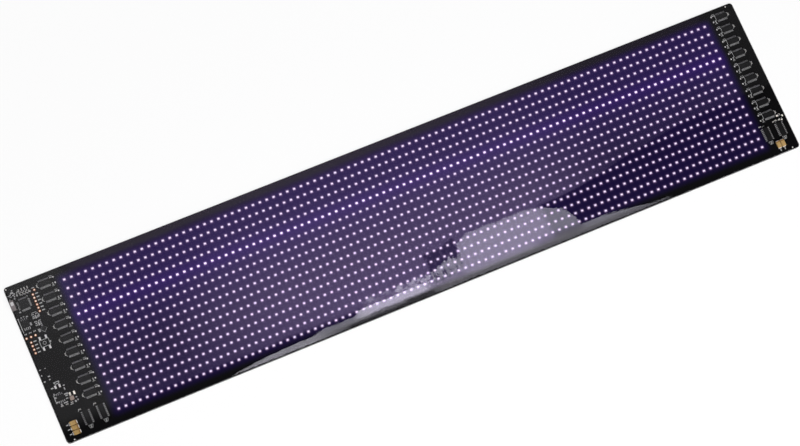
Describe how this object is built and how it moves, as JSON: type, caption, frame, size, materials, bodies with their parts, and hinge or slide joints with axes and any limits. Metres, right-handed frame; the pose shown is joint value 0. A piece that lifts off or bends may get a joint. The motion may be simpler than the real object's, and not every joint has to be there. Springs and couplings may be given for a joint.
{
  "type": "programmable led sign",
  "caption": "Thin flexible sheet with a dense field of light-emitting packages under a clear glossy coat, driver chips at both ends and a power inlet in one short edge.",
  "frame": {"origin": "middle of the flat back face, which the sign rests on", "axes": "+X along the length, away from the end with the power inlet; +Y across, towards the edge that the inlet is nearer to; +Z out of the lit face"},
  "size_m": [0.572, 0.119, 0.0032],
  "materials": {
    "backing_rubber": "soft black backing, dull",
    "circuit_black": "black solder mask, satin",
    "clear_resin": "clear poured coat, high gloss, faintly wavy",
    "led_package": "white package with a violet-white glow",
    "chip_moulding": "black moulded epoxy with bright leads",
    "inductor_ferrite": "brown-grey ferrite, dull",
    "can_metal": "satin metal can",
    "inlet_steel": "bright tinned steel shell",
    "tongue_plastic": "black insulator",
    "small_ceramic": "grey-brown ceramic with tinned ends",
    "amber_moulding": "amber moulded epoxy",
    "gilt_metal": "gilt copper, satin",
    "tinned_metal": "tinned copper, bright"
  },
  "bodies": {
    "root": {"back_sheet": "backing_rubber", "flex_circuit": "circuit_black", "clear_coat": "clear_resin", "led_row_01": "led_package", "led_row_02": "led_package", "led_row_03": "led_package", "led_row_04": "led_package", "led_row_05": "led_package", "led_row_06": "led_package", "led_row_07": "led_package", "led_row_08": "led_package", "led_row_09": "led_package", "led_row_10": "led_package", "led_row_11": "led_package", "led_row_12": "led_package", "led_row_13": "led_package", "led_row_14": "led_package", "led_row_15": "led_package", "led_row_16": "led_package", "column_driver_left_1": "chip_moulding", "column_driver_left_2": "chip_moulding", "column_driver_left_3": "chip_moulding", "column_driver_left_4": "chip_moulding", "column_driver_left_5": "chip_moulding", "column_driver_left_6": "chip_moulding", "column_driver_left_7": "chip_moulding", "column_driver_left_8": "chip_moulding", "column_driver_left_9": "chip_moulding", "column_driver_right_1": "chip_moulding", "column_driver_right_2": "chip_moulding", "column_driver_right_3": "chip_moulding", "column_driver_right_4": "chip_moulding", "column_driver_right_5": "chip_moulding", "column_driver_right_6": "chip_moulding", "column_driver_right_7": "chip_moulding", "column_driver_right_8": "chip_moulding", "column_driver_right_9": "chip_moulding", "row_driver_left_1": "chip_moulding", "row_driver_left_2": "chip_moulding", "row_driver_right_1": "chip_moulding", "row_driver_right_2": "chip_moulding", "microcontroller": "chip_moulding", "memory_chip": "chip_moulding", "power_regulator": "chip_moulding", "power_inductor": "inductor_ferrite", "crystal": "can_metal", "inlet_shell": "inlet_steel", "inlet_tongue": "tongue_plastic", "driver_capacitors": "small_ceramic", "driver_resistors": "small_ceramic", "row_driver_parts": "small_ceramic", "bank_capacitors": "small_ceramic", "bank_resistors": "small_ceramic", "protection_diodes": "chip_moulding", "tantalum_capacitors": "amber_moulding", "contact_pads": "gilt_metal", "tinned_pads": "tinned_metal", "alignment_marks": "tinned_metal"}
  },
  "joints": []
}
